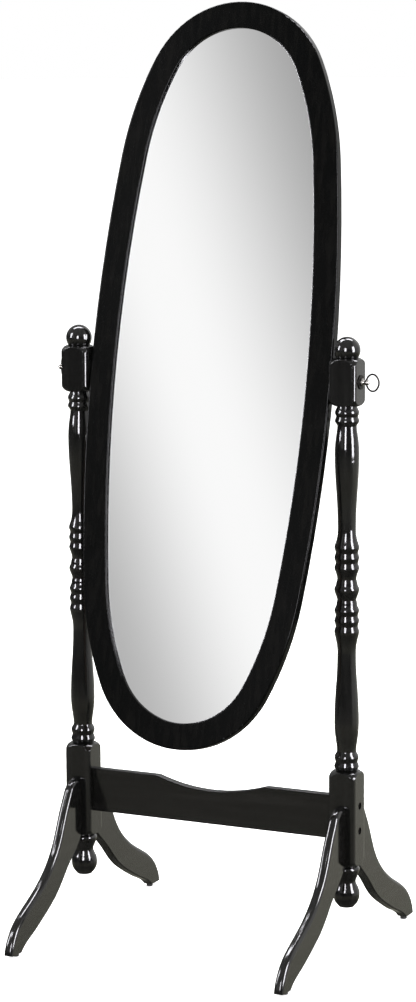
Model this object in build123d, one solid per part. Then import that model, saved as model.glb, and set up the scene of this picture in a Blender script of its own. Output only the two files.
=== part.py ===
from build123d import *
import math
import os

# Oval cheval floor mirror. Millimetres, +Z up, the mirror faces -Y, floor at Z = 0.

os.makedirs("parts", exist_ok=True)

# Stand
post_spacing = 525.0
post_x = post_spacing / 2
block_width = 51.0
block_half = block_width / 2
block_edge_round = 8.0
inner_face = post_x - block_half
outer_face = post_x + block_half
upper_block = (977.5, 1061.5)
lower_block = (163.0, 335.0)
shoulder_neck = 17.25
shoulder_round = 16.0
shoulder_ease = 1.0
ball_radius = 23.2
ball_z = 1074.5

# Mirror
pivot_z = 1020.0
tilt_deg = 12.0
half_width = 235.0
half_height = 661.0
end_radius = 177.0
end_angle = 25.8
side_angle = 7.1
band = 47.0
frame_depth = 18.0
glass_thickness = 4.0
glass_front = -3.0
pad_front = 1.0
board_front = 4.0
board_rear = 7.0
front_round = 3.0
rear_round = 1.5
glass_inset = 39.0
board_inset = 26.5
screw_inset = 32.0
screw_angles = (0, 5, 40, 140, 175, 180, 185, 220, 320, 355)

# Legs
leg_thickness = 18.0
leg_edge_round = 7.0
leg_under_round = 2.0
glide_height = 6.0
glide_y = 258.0
dowel_radius = 4.0
dowel_heights = (190.0, 240.0)

# Rail
rail_thickness = 16.0
rail_bottom = 210.0
rail_top = 289.0
rail_z = 250.0
dip_half = 107.0
dip_depth = 18.0
bolt_offset = 22.5
bolt_heights = (rail_z - bolt_offset, rail_z + bolt_offset)
barrel_x = 215.0

# M6 thumbscrews
thread_radius = 3.0
clear_radius = 3.3
insert_radius = 4.5
insert_length = 16.0
rod_end = 218.0
ring_hinge = 10.5
ring_wire = 1.6
left_ring_fold = 70.0

# Height and radius where the turning is widest or narrowest, then how far the curve runs
# straight down before and after that height, as a share of the span.
upper_turning = [
    (977.5, 17.25, 0.0, 0.30),
    (966.3, 21.21, 0.40, 0.40),
    (959.2, 19.12, 0.30, 0.30),
    (951.8, 21.32, 0.40, 0.35),
    (943.2, 16.93, 0.30, 0.20),
    (894.0, 21.32, 0.52, 0.36),
    (762.0, 15.88, 0.40, 0.62),
    (730.5, 21.84, 0.20, 0.35),
    (721.4, 19.65, 0.35, 0.35),
    (712.3, 21.84, 0.35, 0.35),
    (703.4, 19.65, 0.35, 0.35),
    (694.5, 21.84, 0.35, 0.20),
    (674.5, 16.82, 0.45, 0.25),
    (668.0, 18.6, 0.35, 0.30),
    (665.0, 19.02, 0.30, 0.30),
    (657.0, 21.95, 0.45, 0.40),
    (638.0, 16.77, 0.25, 0.25),
    (633.5, 17.97, 0.35, 0.30),
    (630.5, 18.18, 0.30, 0.40),
    (619.6, 21.84, 0.30, 0.35),
    (610.4, 19.54, 0.35, 0.35),
    (601.0, 21.84, 0.35, 0.35),
    (591.8, 19.54, 0.35, 0.35),
    (582.5, 21.84, 0.35, 0.20),
    (545.0, 16.3, 0.50, 0.36),
    (419.0, 21.68, 0.40, 0.45),
    (369.0, 17.03, 0.25, 0.25),
    (358.7, 21.42, 0.40, 0.40),
    (350.0, 19.54, 0.30, 0.30),
    (341.8, 21.84, 0.40, 0.40),
    (334.0, 18.29, 0.30, 0.0),
]
lower_turning = [
    (165.0, 18.81, 0.0, 0.20),
    (157.0, 23.41, 0.50, 0.30),
    (134.5, 16.51, 0.25, 0.25),
    (112.0, 23.62, 0.50, 0.72),
    (89.0, 13.5, 0.08, 0.0),
]

# Leg outline as (distance from the post axis, height).
leg_back = [
    (block_half, 275.0), (44.0, 270.5), (58.0, 261.5), (67.0, 248.0), (77.0, 231.0),
    (90.0, 206.0), (102.0, 181.0), (121.7, 150.0),
    (151.8, 120.5), (183.0, 99.5), (220.0, 80.0), (247.0, 64.5), (264.0, 50.5),
    (277.0, 34.0), (284.0, 20.0), (287.0, 9.0),
]
leg_under = [
    (250.0, glide_height), (236.0, 16.0), (208.0, 29.0), (187.0, 39.0), (158.0, 54.5),
    (125.0, 74.5), (103.0, 93.0), (82.0, 114.0), (60.0, 134.0), (40.0, 151.0),
    (block_half, 166.0),
]


def turned(points, closing):
    """Revolve a smooth chain through the points; closing lists the corners back to the axis."""
    edges = []
    for (z0, r0, _, leave), (z1, r1, arrive, _) in zip(points, points[1:]):
        span = z0 - z1
        edges.append(
            Bezier((r0, z0), (r0, z0 - leave * span), (r1, z1 + arrive * span), (r1, z1))
        )
    corners = [(points[-1][1], points[-1][0])] + closing + [(points[0][1], points[0][0])]
    for first, second in zip(corners, corners[1:]):
        edges.append(Line(first, second))
    face = Plane.XZ * make_face(edges)
    return revolve(face, Axis.Z)


def square_block(bottom, top):
    """A square block whose ends are turned down to round shoulders."""
    height = top - bottom
    prism = Pos(0, 0, bottom + height / 2) * Box(block_width, block_width, height)
    prism = fillet(prism.edges().filter_by(Axis.Z), block_edge_round)
    outer = shoulder_neck + shoulder_round
    outline = [
        Line((0, bottom), (shoulder_neck, bottom)),
        CenterArc((shoulder_neck, bottom + shoulder_round), shoulder_round, -90, 90),
        Line((outer, bottom + shoulder_round), (outer, top - shoulder_round)),
        CenterArc((shoulder_neck, top - shoulder_round), shoulder_round, 0, 90),
        Line((shoulder_neck, top), (0, top)),
        Line((0, top), (0, bottom)),
    ]
    block = prism & revolve(Plane.XZ * make_face(outline), Axis.Z)
    rims = [
        e for e in block.edges()
        if e.geom_type != GeomType.LINE and math.hypot((e @ 0.5).X, (e @ 0.5).Y) > block_half - 0.01
    ]
    return fillet(rims, shoulder_ease)


def rod_x(radius, start, end, y, z):
    """A cylinder along X between two positions."""
    middle = Pos((start + end) / 2, y, z)
    return middle * Rot(0, 90, 0) * Cylinder(radius, abs(end - start))


def rod_y(radius, start, end, x, z):
    """A cylinder along Y between two positions."""
    middle = Pos(x, (start + end) / 2, z)
    return middle * Rot(90, 0, 0) * Cylinder(radius, abs(end - start))


def post(side):
    """One post on its own axis; side is the sign of X pointing away from the mirror."""
    body = turned(upper_turning, [(0, 334.0), (0, 977.5)])
    body += turned(lower_turning, [(0, 89.0), (0, 165.0)])
    body += square_block(*upper_block)
    body += square_block(*lower_block)
    body += Pos(0, 0, ball_z) * Sphere(ball_radius)
    body -= rod_x(clear_radius, -block_half - 1, block_half + 1, 0, pivot_z)
    for z in bolt_heights:
        body -= rod_x(clear_radius, -block_half - 1, block_half + 1, 0, z)
        body -= rod_x(6.5, side * (block_half - 8), side * (block_half + 1), 0, z)
    for z in dowel_heights:
        for end in (-1, 1):
            body -= rod_y(dowel_radius, end * (block_half - 20), end * (block_half + 1), 0, z)
    return body


def rounded(plate, chain, radius):
    """Round the two long edges of a plate that run along one chain of outline points."""
    picked = []
    for edge in plate.edges():
        ends = sorted([(edge @ 0).Y, (edge @ 1).Y])
        wanted = sorted([chain[0][0], chain[-1][0]])
        same_ends = abs(ends[0] - wanted[0]) < 0.01 and abs(ends[1] - wanted[1]) < 0.01
        if same_ends and abs((edge @ 0.5).X) > leg_thickness / 2 - 0.01:
            picked.append(edge)
    return fillet(picked, radius)


def leg(end):
    """One leg on its post's axis; end is the sign of Y it points to."""
    toe_corner = (284.0, glide_height)
    outline = [
        Spline(*leg_back),
        Line(leg_back[-1], toe_corner),
        Line(toe_corner, leg_under[0]),
        Spline(*leg_under),
        Line(leg_under[-1], leg_back[0]),
    ]
    plate = Pos(-leg_thickness / 2, 0, 0) * extrude(Plane.YZ * make_face(outline), leg_thickness)
    plate = rounded(plate, leg_back, leg_edge_round)
    plate = rounded(plate, leg_under, leg_under_round)
    for z in dowel_heights:
        plate -= rod_y(dowel_radius, block_half - 1, block_half + 18, 0, z)
    plate -= Pos(0, glide_y, 12) * Cylinder(1.25, 13)
    if end < 0:
        plate = mirror(plate, Plane.XZ)
    return plate


def oval_arcs():
    """Centres and radii of the side, shoulder and end arcs of the mirror's outline."""
    p1 = math.radians(end_angle)
    p2 = math.radians(side_angle)
    a11 = 1 - math.cos(p2)
    a12 = math.cos(p2) - math.cos(p1)
    a21 = math.sin(p2)
    a22 = math.sin(p1) - math.sin(p2)
    b1 = half_width - end_radius * math.cos(p1)
    b2 = half_height - end_radius * (1 - math.sin(p1))
    det = a11 * a22 - a12 * a21
    side_r = (b1 * a22 - a12 * b2) / det
    shoulder_r = (a11 * b2 - a21 * b1) / det
    side_x = half_width - side_r
    shoulder_x = side_x + (side_r - shoulder_r) * math.cos(p2)
    shoulder_z = (side_r - shoulder_r) * math.sin(p2)
    return side_x, side_r, shoulder_x, shoulder_z, shoulder_r


def oval_face(inset):
    """The mirror's outline drawn in by a distance, standing upright about the pivot."""
    side_x, side_r, sx, sz, shoulder_r = oval_arcs()
    end_z = half_height - end_radius
    turn = end_angle - side_angle
    cap = 180 - 2 * end_angle
    arcs = [
        CenterArc((side_x, 0), side_r - inset, -side_angle, 2 * side_angle),
        CenterArc((sx, sz), shoulder_r - inset, side_angle, turn),
        CenterArc((0, end_z), end_radius - inset, end_angle, cap),
        CenterArc((-sx, sz), shoulder_r - inset, 180 - end_angle, turn),
        CenterArc((-side_x, 0), side_r - inset, 180 - side_angle, 2 * side_angle),
        CenterArc((-sx, -sz), shoulder_r - inset, 180 + side_angle, turn),
        CenterArc((0, -end_z), end_radius - inset, 180 + end_angle, cap),
        CenterArc((sx, -sz), shoulder_r - inset, -end_angle, turn),
    ]
    return Plane.XZ * make_face(arcs)


def oval_slab(inset, front, rear):
    """An oval plate between two depths."""
    return Pos(0, front, 0) * extrude(oval_face(inset), rear - front, dir=(0, 1, 0))


def oval_point(inset, angle):
    """Where the inset outline faces the given direction, as (X, Z)."""
    side_x, side_r, sx, sz, shoulder_r = oval_arcs()
    c = math.cos(math.radians(angle))
    s = math.sin(math.radians(angle))
    right = math.copysign(1.0, c)
    up = math.copysign(1.0, s)
    if abs(s) < math.sin(math.radians(side_angle)):
        return right * side_x + (side_r - inset) * c, (side_r - inset) * s
    if abs(s) < math.sin(math.radians(end_angle)):
        return right * sx + (shoulder_r - inset) * c, up * sz + (shoulder_r - inset) * s
    end_z = half_height - end_radius
    return (end_radius - inset) * c, up * end_z + (end_radius - inset) * s


def hung(shape):
    """Tip a mirror piece, modelled about the pivot, and lift it to the pivot height."""
    return Pos(0, 0, pivot_z) * Rot(-tilt_deg, 0, 0) * shape


def depth_edges(shape, depth):
    """The edges of an oval plate that lie at one depth."""
    return [
        e for e in shape.edges()
        if abs((e @ 0).Y - depth) < 0.001 and abs((e @ 0.5).Y - depth) < 0.001
    ]


def frame():
    """The oval frame with its rabbets and the holes for inserts and screws."""
    half = frame_depth / 2
    body = oval_slab(0, -half, half)
    body = fillet(depth_edges(body, half), rear_round)
    body -= oval_slab(band, -half - 1, half + 1)
    body = fillet(depth_edges(body, -half), front_round)
    body -= oval_slab(glass_inset - 1, glass_front, half + 1)
    body -= oval_slab(board_inset - 0.5, board_front, half + 1)
    for side in (-1, 1):
        start = half_width - insert_length
        body -= rod_x(insert_radius + 0.02, side * start, side * (half_width + 1), 0, 0)
        body -= rod_x(clear_radius, side * (rod_end - 1), side * (start + 1), 0, 0)
    for angle in screw_angles:
        x, z = oval_point(screw_inset, angle)
        body -= rod_y(1.55, -3.2, board_front + 1, x, z)
    return body


def backing_screw(x, z):
    """A small pan-head screw with a crossed slot."""
    head = rod_y(3.5, board_rear, board_rear + 2, x, z)
    head = fillet(depth_edges(head, board_rear + 2), 0.9)
    for angle in (0, 90):
        slot = Pos(x, board_rear + 1.7, z) * Rot(0, angle, 0) * Box(4.0, 1.2, 0.8)
        head -= slot
    return head + rod_y(1.5, -3.0, board_rear, x, z)


def rail():
    """The flat cross rail with a shallow dip in its top edge."""
    sag_radius = (dip_half**2 + dip_depth**2) / (2 * dip_depth)
    half = rail_thickness / 2
    body = Pos(0, 0, (rail_top + rail_bottom) / 2) * Box(
        2 * inner_face, rail_thickness, rail_top - rail_bottom
    )
    body -= rod_y(sag_radius, -half - 1, half + 1, 0, rail_top - dip_depth + sag_radius)
    corners = [
        e for e in body.edges().filter_by(Axis.Y)
        if abs(abs((e @ 0).X) - dip_half) < 0.5 and (e @ 0).Z > rail_top - 1
    ]
    body = fillet(corners, 22.0)
    long_edges = [
        e for e in body.edges()
        if abs(abs((e @ 0.5).Y) - half) < 0.001 and abs((e @ 0.5).X) < inner_face - 1
    ]
    body = fillet(long_edges, 1.5)
    for side in (-1, 1):
        for z in bolt_heights:
            body -= rod_x(clear_radius, side * (barrel_x - 8), side * (inner_face + 1), 0, z)
            body -= rod_y(5.05, half - 14.2, half + 1, side * barrel_x, z)
    return body


def rail_bolt(side, z):
    """An M6 x 65 socket-head bolt from the outer face of a post."""
    seat = side * (outer_face - 8)
    bolt = rod_x(thread_radius, seat, seat - side * 65, 0, z)
    bolt += rod_x(5.0, seat, seat + side * 6, 0, z)
    socket = Pos(seat + side * 5, 0, z) * Rot(0, 90, 0) * extrude(
        RegularPolygon(2.5 / math.cos(math.pi / 6), 6), 2.0, both=True
    )
    return bolt - socket


def barrel_nut(side, z):
    """A cross dowel nut with its driver slot at the rear."""
    rear = rail_thickness / 2 - 0.1
    nut = rod_y(5.0, rear - 14, rear, side * barrel_x, z)
    nut -= rod_x(3.05, side * (barrel_x - 6), side * (barrel_x + 6), 0, z)
    nut -= Pos(side * barrel_x, rear, z) * Box(7.0, 2.4, 1.4)
    return nut


def glide(x, y):
    """A round floor glide and its nail."""
    disc = Pos(x, y, glide_height / 2) * Cylinder(6.0, glide_height)
    disc = fillet(disc.edges().sort_by(Axis.Z)[0], 1.2)
    return disc + Pos(x, y, 11.5) * Cylinder(1.2, 12.0)


def along_x(shape, side):
    """Place a clamp piece, modelled outwards from the post face along +X."""
    placed = Pos(outer_face, 0, pivot_z) * shape
    return placed if side > 0 else mirror(placed, Plane.YZ)


def washer():
    """A flat washer just off the post face."""
    disc = rod_x(12.5, 0.3, 1.8, 0, 0)
    disc = fillet(disc.edges().sort_by(Axis.X)[-1], 0.5)
    return disc - rod_x(clear_radius, 0, 2, 0, 0)


def thumbscrew():
    """Flange, waist and knob turned in one with the rod, cross-drilled for the ring."""
    outline = [
        Line((2.1, 0), (2.1, 7.0)),
        Line((2.1, 7.0), (4.1, 7.0)),
        Line((4.1, 7.0), (5.6, 4.1)),
        Line((5.6, 4.1), (7.2, 3.6)),
        ThreePointArc((7.2, 3.6), (11.0, 4.9), (14.8, 3.6)),
        Line((14.8, 3.6), (16.5, 1.6)),
        Line((16.5, 1.6), (16.5, 0)),
        Line((16.5, 0), (2.1, 0)),
    ]
    knob = revolve(make_face(outline), Axis.X)
    knob += rod_x(thread_radius, rod_end - outer_face, 2.6, 0, 0)
    return knob - Pos(ring_hinge, 0, 0) * Cylinder(2.3, 12)


def pull_ring():
    """A wire oval hanging out from its hinge in the knob."""
    reach = 11.8
    rise = 14.6
    end_r = 9.5
    side_r = 16.3
    span = math.degrees(math.atan2(rise - end_r, side_r - reach))
    ring = None
    for start, size, radius, cx, cz in (
        (-span, 2 * span, side_r, reach - side_r, 0),
        (span, 180 - 2 * span, end_r, 0, rise - end_r),
        (180 - span, 2 * span, side_r, side_r - reach, 0),
        (180 + span, 180 - 2 * span, end_r, 0, end_r - rise),
    ):
        bend = revolve(Pos(radius, 0, 0) * Circle(ring_wire), Axis((0, 0, 0), (0, -1, 0)), size)
        bend = Pos(reach + cx, 0, cz) * Rot(0, -start, 0) * bend
        ring = bend if ring is None else ring + bend
    return ring


def save(node, *shapes):
    """Write one node's STEP file."""
    item = shapes[0] if len(shapes) == 1 else Compound(children=list(shapes))
    export_step(item, f"parts/{node}.step")


sides = {"left": -1, "right": 1}
ends = {"front": -1, "rear": 1}

# Stand
for side_name, side in sides.items():
    save(f"{side_name}_post", Pos(side * post_x, 0, 0) * post(side))
    start = half_width + 0.4
    save(f"{side_name}_spacer", rod_x(11.0, side * start, side * inner_face, 0, pivot_z)
         - rod_x(clear_radius, side * (start - 1), side * (inner_face + 1), 0, pivot_z))
    for end_name, end in ends.items():
        save(f"{end_name}_{side_name}_leg", Pos(side * post_x, 0, 0) * leg(end))
        save(f"{end_name}_{side_name}_glide", glide(side * post_x, end * glide_y))
save("cross_rail", rail())
save("rail_bolts", *[rail_bolt(s, z) for s in (-1, 1) for z in bolt_heights])
save("barrel_nuts", *[barrel_nut(s, z) for s in (-1, 1) for z in bolt_heights])
save("leg_dowels", *[
    rod_y(dowel_radius - 0.05, end * (block_half - 19.5), end * (block_half + 17.5), s * post_x, z)
    for s in (-1, 1) for end in (-1, 1) for z in dowel_heights
])

# Mirror
save("mirror_frame", hung(frame()))
save("mirror_glass", hung(oval_slab(glass_inset, glass_front, glass_front + glass_thickness)))
save("foam_pad", hung(oval_slab(glass_inset, pad_front, board_front)))
board = oval_slab(board_inset, board_front, board_rear)
screws = []
for angle in screw_angles:
    x, z = oval_point(screw_inset, angle)
    board -= rod_y(1.55, board_front - 1, board_rear + 1, x, z)
    screws.append(hung(backing_screw(x, z)))
save("backing_board", hung(board))
save("backing_screws", *screws)
for side_name, side in sides.items():
    sleeve = rod_x(insert_radius, side * (half_width - insert_length), side * half_width, 0, 0)
    sleeve -= rod_x(thread_radius + 0.05, side * (rod_end - 1), side * (half_width + 1), 0, 0)
    save(f"{side_name}_insert", hung(sleeve))

# Clamps
for side_name, side in sides.items():
    save(f"{side_name}_washer", along_x(washer(), side))
    save(f"{side_name}_thumbscrew", along_x(thumbscrew(), side))
    fold = left_ring_fold if side < 0 else 0.0
    hinged = Pos(ring_hinge, 0, 0) * Rot(0, 0, fold) * pull_ring()
    save(f"{side_name}_ring", along_x(hinged, side))
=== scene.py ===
"""Oval cheval floor mirror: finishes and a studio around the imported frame."""

from __future__ import annotations

import logging
import math
from dataclasses import dataclass, field
from enum import Enum
from typing import Any

import bpy
from mathutils import Matrix, Vector


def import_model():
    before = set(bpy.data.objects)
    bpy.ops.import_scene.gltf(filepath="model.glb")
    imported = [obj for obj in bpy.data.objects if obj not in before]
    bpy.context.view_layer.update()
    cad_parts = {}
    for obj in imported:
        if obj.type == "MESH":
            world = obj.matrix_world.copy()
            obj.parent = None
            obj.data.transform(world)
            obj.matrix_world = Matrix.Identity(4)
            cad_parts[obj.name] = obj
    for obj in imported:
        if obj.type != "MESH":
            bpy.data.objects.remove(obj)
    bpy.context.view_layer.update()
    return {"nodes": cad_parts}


LOG = logging.getLogger("cheval_mirror")
Number = float | int

# A Mix node repeats its socket names for each data type, so the colour ones go by index.
MIX_FACTOR, MIX_FIRST, MIX_SECOND = 0, 6, 7
MIX_RESULT = 2


class Along(Enum):
    """The way the wood's grain runs, as the scale of a pattern on X, Y and Z."""

    X = (0.045, 1.0, 1.0)
    Y = (1.0, 0.045, 1.0)
    Z = (1.0, 1.0, 0.045)


class Side(Enum):
    """The two sides, as the viewer who faces the mirror sees them."""

    LEFT = "left"
    RIGHT = "right"


class Wire:
    """A shader socket whose sums and products become Math nodes."""

    def __init__(self, recipe: "Recipe", socket: bpy.types.NodeSocket) -> None:
        """Wrap one output socket of a recipe's tree."""
        self.recipe = recipe
        self.socket = socket

    def _math(self, operation: str, *values: "Wire | Number") -> "Wire":
        """Add a Math node.

        Args:
            operation: The node's operation.
            values: Its inputs in order.

        Returns:
            The node's result.
        """
        inputs = {index: value for index, value in enumerate(values)}
        return self.recipe.add("ShaderNodeMath", {"operation": operation}, inputs)

    def __add__(self, other: "Wire | Number") -> "Wire":
        """Sum."""
        return self._math("ADD", self, other)

    __radd__ = __add__

    def __sub__(self, other: "Wire | Number") -> "Wire":
        """Difference."""
        return self._math("SUBTRACT", self, other)

    def __rsub__(self, other: "Wire | Number") -> "Wire":
        """Difference from a number."""
        return self._math("SUBTRACT", other, self)

    def __mul__(self, other: "Wire | Number") -> "Wire":
        """Product."""
        return self._math("MULTIPLY", self, other)

    __rmul__ = __mul__

    def beside(self, output: str) -> "Wire":
        """Another output of the same node."""
        return Wire(self.recipe, self.socket.node.outputs[output])

    def ease(self, low: Number, high: Number) -> "Wire":
        """A smooth step from zero at low to one at high."""
        settings = {"interpolation_type": "SMOOTHSTEP"}
        inputs = {"Value": self, "From Min": low, "From Max": high}
        return self.recipe.add("ShaderNodeMapRange", settings, inputs)


class Recipe:
    """A node tree under construction, for one material or the world."""

    def __init__(self, owner: bpy.types.Material | bpy.types.World) -> None:
        """Start from an empty tree."""
        owner.use_nodes = True
        self.owner = owner
        self.tree = owner.node_tree
        self.tree.nodes.clear()

    def add(
        self,
        kind: str,
        settings: dict[str, Any] | None = None,
        inputs: dict[str | int, Any] | None = None,
        output: str | int = 0,
    ) -> Wire:
        """Add one node.

        Args:
            kind: The node's type.
            settings: Its properties, set first.
            inputs: Values or wires for its sockets, by name or index.
            output: The socket that the result reads.

        Returns:
            The chosen output.
        """
        node = self.tree.nodes.new(kind)
        for name, value in (settings or {}).items():
            setattr(node, name, value)
        for name, value in (inputs or {}).items():
            socket = node.inputs[name]
            if isinstance(value, Wire):
                self.tree.links.new(value.socket, socket)
            else:
                socket.default_value = value
        return Wire(self, node.outputs[output]) if len(node.outputs) else Wire(self, None)

    def place(self) -> Wire:
        """Object coordinates, in metres."""
        return self.add("ShaderNodeTexCoord", output="Object")

    def stretched(self, scale: tuple[float, float, float]) -> Wire:
        """Object coordinates with each axis scaled."""
        return self.add("ShaderNodeMapping", inputs={"Vector": self.place(), "Scale": scale})

    def noise(self, vector: Wire, scale: float, detail: float = 2.0, rough: float = 0.5) -> Wire:
        """A noise pattern's value."""
        inputs = {"Vector": vector, "Scale": scale, "Detail": detail, "Roughness": rough}
        return self.add("ShaderNodeTexNoise", inputs=inputs)

    def blend(self, factor: Wire | Number, first: Any, second: Any) -> Wire:
        """A colour between two colours."""
        inputs = {MIX_FACTOR: factor, MIX_FIRST: first, MIX_SECOND: second}
        return self.add("ShaderNodeMix", {"data_type": "RGBA"}, inputs, MIX_RESULT)

    def bump(self, height: Wire, strength: float, depth: float, under: Wire | None = None) -> Wire:
        """A bumped normal.

        Args:
            height: The pattern that stands for height.
            strength: How much of it shows.
            depth: The height in metres of a full unit.
            under: A normal that it is laid over.

        Returns:
            The new normal.
        """
        inputs = {"Height": height, "Strength": strength, "Distance": depth}
        if under is not None:
            inputs["Normal"] = under
        return self.add("ShaderNodeBump", inputs=inputs)

    def surface(self, **sockets: Any) -> None:
        """Finish with a Principled shader; underscores in names stand for spaces."""
        inputs = {name.replace("_", " "): value for name, value in sockets.items()}
        shader = self.add("ShaderNodeBsdfPrincipled", inputs=inputs)
        self.add("ShaderNodeOutputMaterial", inputs={"Surface": shader})

    def shine(self, colour: tuple, strength: Wire | Number) -> None:
        """Finish with plain emission."""
        glow = self.add("ShaderNodeEmission", inputs={"Color": colour, "Strength": strength})
        self.add("ShaderNodeOutputMaterial", inputs={"Surface": glow})


def rgb(red: float, green: float, blue: float) -> tuple[float, float, float, float]:
    """A colour with full alpha."""
    return (red, green, blue, 1.0)


def new_recipe(name: str) -> Recipe:
    """A recipe for a new material."""
    return Recipe(bpy.data.materials.new(name))


@dataclass(frozen=True)
class BlackLacquer:
    """Gloss black lacquer over fine-grained wood."""

    grain: Along
    colour: tuple = rgb(0.0035, 0.0035, 0.0034)
    rub_colour: tuple = rgb(0.0068, 0.0067, 0.0065)
    polish: float = 0.055
    gloss: float = 1.45
    pore_scale: float = 900.0
    pore_depth: float = 0.000045
    figure_scale: float = 95.0
    peel_scale: float = 240.0
    peel_depth: float = 0.00006
    haze_scale: float = 9.0
    dust_scale: float = 1500.0

    def make(self, name: str) -> bpy.types.Material:
        """Build the material."""
        r = new_recipe(name)
        fibre = r.stretched(self.grain.value)
        pores = r.noise(fibre, self.pore_scale, 3.0, 0.6)
        figure = r.noise(fibre, self.figure_scale, 4.0, 0.55)
        peel = r.noise(r.place(), self.peel_scale, 1.0)
        haze = r.noise(r.place(), self.haze_scale, 3.0, 0.6)
        dust = r.noise(r.place(), self.dust_scale, 0.0).ease(0.74, 0.80)
        colour = r.blend(figure.ease(0.42, 0.70), self.colour, self.rub_colour)
        rough = self.polish + haze.ease(0.4, 0.75) * 0.045 + dust * 0.18
        sunk = r.bump(pores.ease(0.30, 0.60), 0.35, self.pore_depth)
        skin = r.bump(peel, 0.5, self.peel_depth, sunk)
        r.surface(Base_Color=colour, Roughness=rough, Normal=skin, IOR=self.gloss)
        return r.owner


@dataclass(frozen=True)
class SilveredGlass:
    """A float-glass mirror with the faint haze of a wiped surface."""

    tint: tuple = rgb(0.90, 0.905, 0.90)
    wipe_stretch: tuple = (1.0, 1.0, 0.35)
    wipe_scale: float = 7.0
    speck_scale: float = 420.0
    wave_scale: float = 5.0
    wave_depth: float = 0.0004

    def make(self, name: str) -> bpy.types.Material:
        """Build the material."""
        r = new_recipe(name)
        wiped = r.noise(r.stretched(self.wipe_stretch), self.wipe_scale, 4.0, 0.65)
        specks = r.noise(r.place(), self.speck_scale, 0.0).ease(0.76, 0.80)
        wave = r.noise(r.place(), self.wave_scale, 0.0)
        rough = 0.012 + wiped.ease(0.45, 0.8) * 0.018 + specks * 0.05
        flat = r.bump(wave, 0.05, self.wave_depth)
        r.surface(Base_Color=self.tint, Metallic=1.0, Roughness=rough, Normal=flat)
        return r.owner


@dataclass(frozen=True)
class Plated:
    """Plated or oxidised metal, a little tarnished, with the marks of turning about X."""

    colour: tuple
    tarnish: tuple
    polish: float
    mark_stretch: tuple = (1.0, 0.08, 0.08)
    mark_scale: float = 2600.0
    mark_depth: float = 0.00002
    stain_scale: float = 160.0

    def make(self, name: str) -> bpy.types.Material:
        """Build the material."""
        r = new_recipe(name)
        lines = r.noise(r.stretched(self.mark_stretch), self.mark_scale, 2.0, 0.6)
        stain = r.noise(r.place(), self.stain_scale, 4.0, 0.65)
        colour = r.blend(stain.ease(0.50, 0.72), self.colour, self.tarnish)
        rough = self.polish + lines * 0.10 + stain.ease(0.5, 0.8) * 0.12
        normal = r.bump(lines, 0.25, self.mark_depth)
        r.surface(Base_Color=colour, Metallic=1.0, Roughness=rough, Normal=normal)
        return r.owner


@dataclass(frozen=True)
class BareWood:
    """Uncoated wood, for dowels."""

    grain: Along
    light: tuple = rgb(0.52, 0.36, 0.21)
    dark: tuple = rgb(0.36, 0.22, 0.12)
    fibre_scale: float = 420.0
    fibre_depth: float = 0.0001

    def make(self, name: str) -> bpy.types.Material:
        """Build the material."""
        r = new_recipe(name)
        fibre = r.noise(r.stretched(self.grain.value), self.fibre_scale, 4.0, 0.6)
        colour = r.blend(fibre.ease(0.35, 0.65), self.light, self.dark)
        normal = r.bump(fibre, 0.4, self.fibre_depth)
        r.surface(Base_Color=colour, Roughness=0.7 + fibre * 0.1, Normal=normal)
        return r.owner


@dataclass(frozen=True)
class Hardboard:
    """Dark pressed hardboard with its mesh-marked back."""

    light: tuple = rgb(0.115, 0.070, 0.040)
    dark: tuple = rgb(0.060, 0.034, 0.019)
    fibre_scale: float = 320.0
    fibre_depth: float = 0.00015
    cloud_scale: float = 12.0
    mesh_scale: float = 180.0
    mesh_depth: float = 0.00018

    def make(self, name: str) -> bpy.types.Material:
        """Build the material."""
        r = new_recipe(name)
        fibres = r.noise(r.place(), self.fibre_scale, 6.0, 0.7)
        clouds = r.noise(r.place(), self.cloud_scale, 3.0, 0.6)
        colour = r.blend(fibres.ease(0.35, 0.68), self.light, self.dark)
        colour = r.blend(clouds.ease(0.45, 0.7) * 0.4, colour, self.dark)
        across, down = (
            r.add(
                "ShaderNodeTexWave",
                {"bands_direction": way},
                {"Vector": r.place(), "Scale": self.mesh_scale, "Distortion": 0.6},
                "Fac",
            )
            for way in ("X", "Z")
        )
        mesh = r.bump(across * down, 0.6, self.mesh_depth)
        normal = r.bump(fibres, 0.5, self.fibre_depth, mesh)
        r.surface(Base_Color=colour, Roughness=0.62 + fibres * 0.15, Normal=normal)
        return r.owner


@dataclass(frozen=True)
class Moulded:
    """Moulded nylon or foam."""

    colour: tuple
    rough: float
    pit_scale: float
    pit_depth: float
    scuff_scale: float = 60.0
    wear: float = 1.8

    def make(self, name: str) -> bpy.types.Material:
        """Build the material."""
        r = new_recipe(name)
        pits = r.noise(r.place(), self.pit_scale, 3.0, 0.6)
        scuffs = r.noise(r.place(), self.scuff_scale, 4.0, 0.7)
        worn = rgb(*(min(1.0, part * self.wear) for part in self.colour[:3]))
        colour = r.blend(scuffs.ease(0.5, 0.75), self.colour, worn)
        rough = self.rough + pits * 0.12
        r.surface(Base_Color=colour, Roughness=rough, Normal=r.bump(pits, 0.6, self.pit_depth))
        return r.owner


NICKEL = Plated(rgb(0.24, 0.23, 0.215), rgb(0.08, 0.075, 0.068), 0.20)
GUNMETAL = Plated(rgb(0.016, 0.015, 0.014), rgb(0.007, 0.0065, 0.006), 0.42)
ZINC = Plated(rgb(0.52, 0.53, 0.55), rgb(0.36, 0.36, 0.37), 0.26)
BRASS = Plated(rgb(0.72, 0.55, 0.26), rgb(0.45, 0.32, 0.14), 0.22)
NYLON = Moulded(rgb(0.020, 0.020, 0.020), 0.42, 1400.0, 0.00006)
FOAM = Moulded(rgb(0.022, 0.022, 0.024), 0.85, 1800.0, 0.0003)

WHITE = rgb(1.0, 1.0, 1.0)
LAMP_COLOUR = (0.955, 0.945, 1.0)


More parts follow.
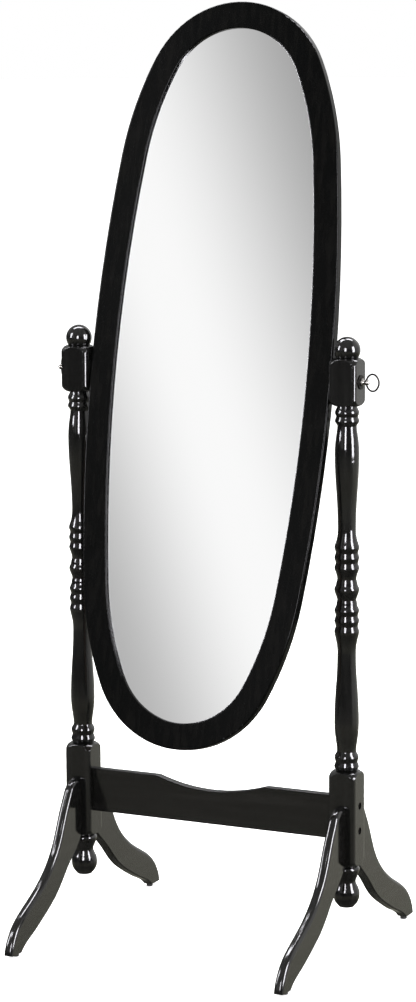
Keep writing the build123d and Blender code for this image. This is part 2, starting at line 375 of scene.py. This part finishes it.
def dress(node: bpy.types.Object, material: bpy.types.Material) -> None:
    """Put one material in every slot of a piece."""
    if not node.data.materials:
        node.data.materials.append(material)
    for slot in node.material_slots:
        slot.material = material


@dataclass
class Stand:
    """Posts, legs, rail and the hardware that joins them."""

    nodes: dict[str, bpy.types.Object]

    def finish_wood(self) -> None:
        """Lacquer the posts, legs, rail and spacers."""
        upright = BlackLacquer(Along.Z).make("post_lacquer")
        across = BlackLacquer(Along.X).make("rail_lacquer")
        sloping = BlackLacquer(Along.Y).make("leg_lacquer")
        for side in Side:
            dress(self.nodes[f"{side.value}_post"], upright)
            dress(self.nodes[f"{side.value}_spacer"], across)
            for end in ("front", "rear"):
                dress(self.nodes[f"{end}_{side.value}_leg"], sloping)
        dress(self.nodes["cross_rail"], across)

    def finish_hardware(self) -> None:
        """Give bolts, nuts, dowels and glides their finishes."""
        dress(self.nodes["barrel_nuts"], ZINC.make("stand_zinc"))
        dress(self.nodes["rail_bolts"], GUNMETAL.make("bolt_black_oxide"))
        dress(self.nodes["leg_dowels"], BareWood(Along.Y).make("beech"))
        nylon = NYLON.make("glide_nylon")
        for name, node in self.nodes.items():
            if name.endswith("_glide"):
                dress(node, nylon)


@dataclass
class TiltingMirror:
    """The oval frame, its glass and what holds the glass in."""

    nodes: dict[str, bpy.types.Object]

    @staticmethod
    def band() -> BlackLacquer:
        """The frame's deeper black, which takes less of the room than the posts do."""
        return BlackLacquer(Along.Z, rgb(0.0014, 0.0015, 0.0015), rgb(0.0034, 0.0033, 0.0031),
                            polish=0.09, gloss=1.16)

    def finish(self) -> None:
        """Give each piece its finish."""
        dress(self.nodes["mirror_frame"], self.band().make("frame_lacquer"))
        dress(self.nodes["mirror_glass"], SilveredGlass().make("silvered_glass"))
        dress(self.nodes["foam_pad"], FOAM.make("foam"))
        dress(self.nodes["backing_board"], Hardboard().make("hardboard"))
        dress(self.nodes["backing_screws"], ZINC.make("screw_zinc"))
        brass = BRASS.make("insert_brass")
        for side in Side:
            dress(self.nodes[f"{side.value}_insert"], brass)


@dataclass
class Clamps:
    """Washers, thumbscrews and pull rings."""

    nodes: dict[str, bpy.types.Object]

    def finish(self) -> None:
        """Give each piece its finish."""
        bright = NICKEL.make("knob_nickel")
        dark = GUNMETAL.make("ring_gunmetal")
        for side in Side:
            dress(self.nodes[f"{side.value}_thumbscrew"], bright)
            dress(self.nodes[f"{side.value}_washer"], dark)
            dress(self.nodes[f"{side.value}_ring"], dark)


@dataclass(frozen=True)
class SoftBox:
    """One studio light seen as a crisp window in the lacquer."""

    name: str
    place: tuple[float, float, float]
    aim: tuple[float, float, float]
    width: float
    height: float
    radiance: float

    def make(self) -> None:
        """Hang the light."""
        data = bpy.data.lights.new(self.name, "AREA")
        data.shape = "RECTANGLE"
        data.size = self.width
        data.size_y = self.height
        data.energy = self.radiance * math.pi * self.width * self.height
        data.color = LAMP_COLOUR
        lamp = bpy.data.objects.new(self.name, data)
        bpy.context.scene.collection.objects.link(lamp)
        lamp.location = self.place
        towards = Vector(self.aim) - Vector(self.place)
        lamp.rotation_euler = towards.to_track_quat("-Z", "Y").to_euler()
        lamp.visible_diffuse = False
        lamp.visible_camera = False


@dataclass
class Studio:
    """A pale floor, a graded surround and the camera.

    Lengths are in metres and lights in watts. The card is what the glass looks at: it is brightest
    at card_peak, an (X, Z) on it, and fades along a line that fade_slant leans. behind, ahead,
    low_glow and above are the surround's brightness, and bright_way points to its bright quarter.
    """

    floor_radius: float = 60.0
    floor_glow: float = 0.85
    wall_inset: float = 1.0
    wall_height: float = 80.0
    card_centre: tuple[float, float, float] = (-1.76, -3.44, 2.05)
    card_size: tuple[float, float] = (2.4, 2.7)
    card_peak: tuple[float, float] = (-1.74, 1.91)
    card_glow: float = 1.05
    fade_slant: float = 2.64
    mirror_centre: tuple[float, float, float] = (0.0, 0.0, 1.02)
    fill_height: float = 5.0
    fill_size: float = 5.0
    fill_watts: float = 420.0
    bright_way: tuple[float, float] = (0.66, 0.75)
    behind: float = 1.05
    ahead: float = 0.11
    low_glow: float = 0.26
    above: float = 0.42
    camera_place: tuple[float, float, float] = (2.5714, -5.1952, 1.6864)
    turn_deg: float = 26.406
    pitch_deg: float = 8.545
    roll_deg: float = -0.277
    sensor_width: float = 36.0
    lens: float = 119.2
    shift: tuple[float, float] = (0.00104, -0.0114)
    sight: float = 200.0
    boxes: list[SoftBox] = field(default_factory=lambda: [
        SoftBox("top_box", (-0.4, 0.72, 3.3), (0.0, 0.0, 1.0), 3.2, 0.5, 26.0),
        SoftBox("left_box", (-2.05, -1.65, 1.80), (0.2, 0.0, 1.0), 0.6, 1.5, 32.0),
        SoftBox("front_box", (0.75, -3.4, 1.50), (0.1, 0.0, 1.05), 0.75, 1.5, 40.0),
        SoftBox("right_box", (3.1, -0.45, 1.50), (0.2, 0.0, 1.0), 1.0, 2.2, 34.0),
    ])

    def build_floor(self) -> None:
        """Lay a plain pale floor that runs to the horizon."""
        bpy.ops.object.select_all(action="DESELECT")
        bpy.ops.mesh.primitive_circle_add(
            vertices=128, radius=self.floor_radius, fill_type="NGON", location=(0.0, 0.0, 0.0)
        )
        floor = bpy.context.object
        floor.name = "studio_floor"
        r = new_recipe("floor_paint")
        mottle = r.noise(r.place(), 3.0, 3.0)
        colour = r.blend(mottle, rgb(0.90, 0.90, 0.90), rgb(0.94, 0.94, 0.94))
        r.surface(
            Base_Color=colour,
            Roughness=0.9,
            IOR=1.2,
            Emission_Color=WHITE,
            Emission_Strength=self.floor_glow,
        )
        dress(floor, r.owner)
        floor.visible_glossy = False

    def build_surround(self) -> None:
        """Raise a far white wall that only the camera sees."""
        bpy.ops.object.select_all(action="DESELECT")
        bpy.ops.mesh.primitive_cylinder_add(
            vertices=96,
            radius=self.floor_radius - self.wall_inset,
            depth=self.wall_height,
            end_fill_type="NOTHING",
        )
        wall = bpy.context.object
        wall.name = "studio_wall"
        r = new_recipe("wall_light")
        r.shine(WHITE, 1.0)
        dress(wall, r.owner)
        wall.visible_glossy = False
        wall.visible_diffuse = False
        wall.visible_shadow = False

    def build_card(self) -> None:
        """Stand a pale graded card where the glass looks."""
        bpy.ops.object.select_all(action="DESELECT")
        bpy.ops.mesh.primitive_plane_add(size=1.0)
        card = bpy.context.object
        card.name = "studio_card"
        centre = Vector(self.card_centre)
        facing = (Vector(self.mirror_centre) - centre).to_track_quat("Z", "Y")
        size = Matrix.Diagonal((*self.card_size, 1.0, 1.0))
        card.data.transform(Matrix.Translation(centre) @ facing.to_matrix().to_4x4() @ size)
        r = new_recipe("card_light")
        across = r.add("ShaderNodeSeparateXYZ", inputs={"Vector": r.place()}, output="X")
        height = across.beside("Z")
        drift = (across - self.card_peak[0]) * self.fade_slant + (height - self.card_peak[1])
        one_way = drift.ease(0.0, 1.75) * 0.66
        other_way = (drift * -1.0).ease(0.10, 1.45) * 0.57
        glow = self.card_glow - one_way - other_way
        r.shine(rgb(1.0, 0.995, 1.0), glow)
        dress(card, r.owner)
        card.visible_diffuse = False
        card.visible_camera = False

    def build_world(self) -> None:
        """Paint a bright quarter behind the mirror, dim ground and a dim viewer's side."""
        world = bpy.data.worlds.new("studio_world")
        bpy.context.scene.world = world
        r = Recipe(world)
        way = r.add("ShaderNodeTexCoord", output="Generated")
        x = r.add("ShaderNodeSeparateXYZ", inputs={"Vector": way}, output="X")
        y = x.beside("Y")
        z = x.beside("Z")
        down = z * -1.0
        lobe = (x * self.bright_way[0] + y * self.bright_way[1]).ease(0.35, 0.75)
        lobe = lobe * z.ease(-0.38, -0.06)
        low = down.ease(0.10, 0.26) * (down - 0.35).ease(0.30, 0.0)
        sky = z.ease(0.05, 0.38) * self.above
        glow = self.ahead + low * self.low_glow + lobe * (self.behind - self.ahead) + sky
        tint = r.blend(down.ease(0.06, 0.32), rgb(1.0, 1.0, 0.99), rgb(1.0, 0.98, 0.80))
        light = r.add("ShaderNodeBackground", inputs={"Color": tint, "Strength": glow})
        r.add("ShaderNodeOutputWorld", inputs={"Surface": light})

    def build_fill(self) -> None:
        """Light the floor from above without showing in the gloss."""
        data = bpy.data.lights.new("floor_fill", "AREA")
        data.size = self.fill_size
        data.energy = self.fill_watts
        lamp = bpy.data.objects.new("floor_fill", data)
        bpy.context.scene.collection.objects.link(lamp)
        lamp.location = (0.0, 0.0, self.fill_height)
        lamp.visible_glossy = False
        lamp.visible_camera = False

    def build_camera(self) -> None:
        """Set the camera at the object's viewing angle."""
        data = bpy.data.cameras.new("camera")
        data.lens = self.lens
        data.sensor_width = self.sensor_width
        data.shift_x, data.shift_y = self.shift
        data.clip_end = self.sight
        camera = bpy.data.objects.new("camera", data)
        bpy.context.scene.collection.objects.link(camera)
        camera.location = self.camera_place
        turn = math.radians(self.turn_deg)
        pitch = math.radians(self.pitch_deg)
        roll = math.radians(self.roll_deg)
        back = Vector((math.sin(turn) * math.cos(pitch), -math.cos(turn) * math.cos(pitch),
                       math.sin(pitch)))
        right = Vector((math.cos(turn), math.sin(turn), 0.0))
        up = back.cross(right)
        rolled_right = math.cos(roll) * right + math.sin(roll) * up
        rolled_up = math.cos(roll) * up - math.sin(roll) * right
        camera.rotation_euler = Matrix((rolled_right, rolled_up, back)).transposed().to_euler()
        bpy.context.scene.camera = camera

    def build(self) -> None:
        """Build the whole studio."""
        bpy.context.scene.view_settings.view_transform = "Standard"
        self.build_floor()
        self.build_surround()
        self.build_card()
        self.build_world()
        self.build_fill()
        for box in self.boxes:
            box.make()
        self.build_camera()


def main() -> None:
    """Load the frame, finish each sub-assembly and set up the studio."""
    logging.basicConfig(level=logging.INFO, format="%(message)s")
    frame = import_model()
    nodes = frame["nodes"]
    stand = Stand(nodes)
    stand.finish_wood()
    stand.finish_hardware()
    TiltingMirror(nodes).finish()
    Clamps(nodes).finish()
    Studio().build()
    for name in sorted(nodes):
        LOG.info("dressed %s", name)


if __name__ == "__main__":
    main()
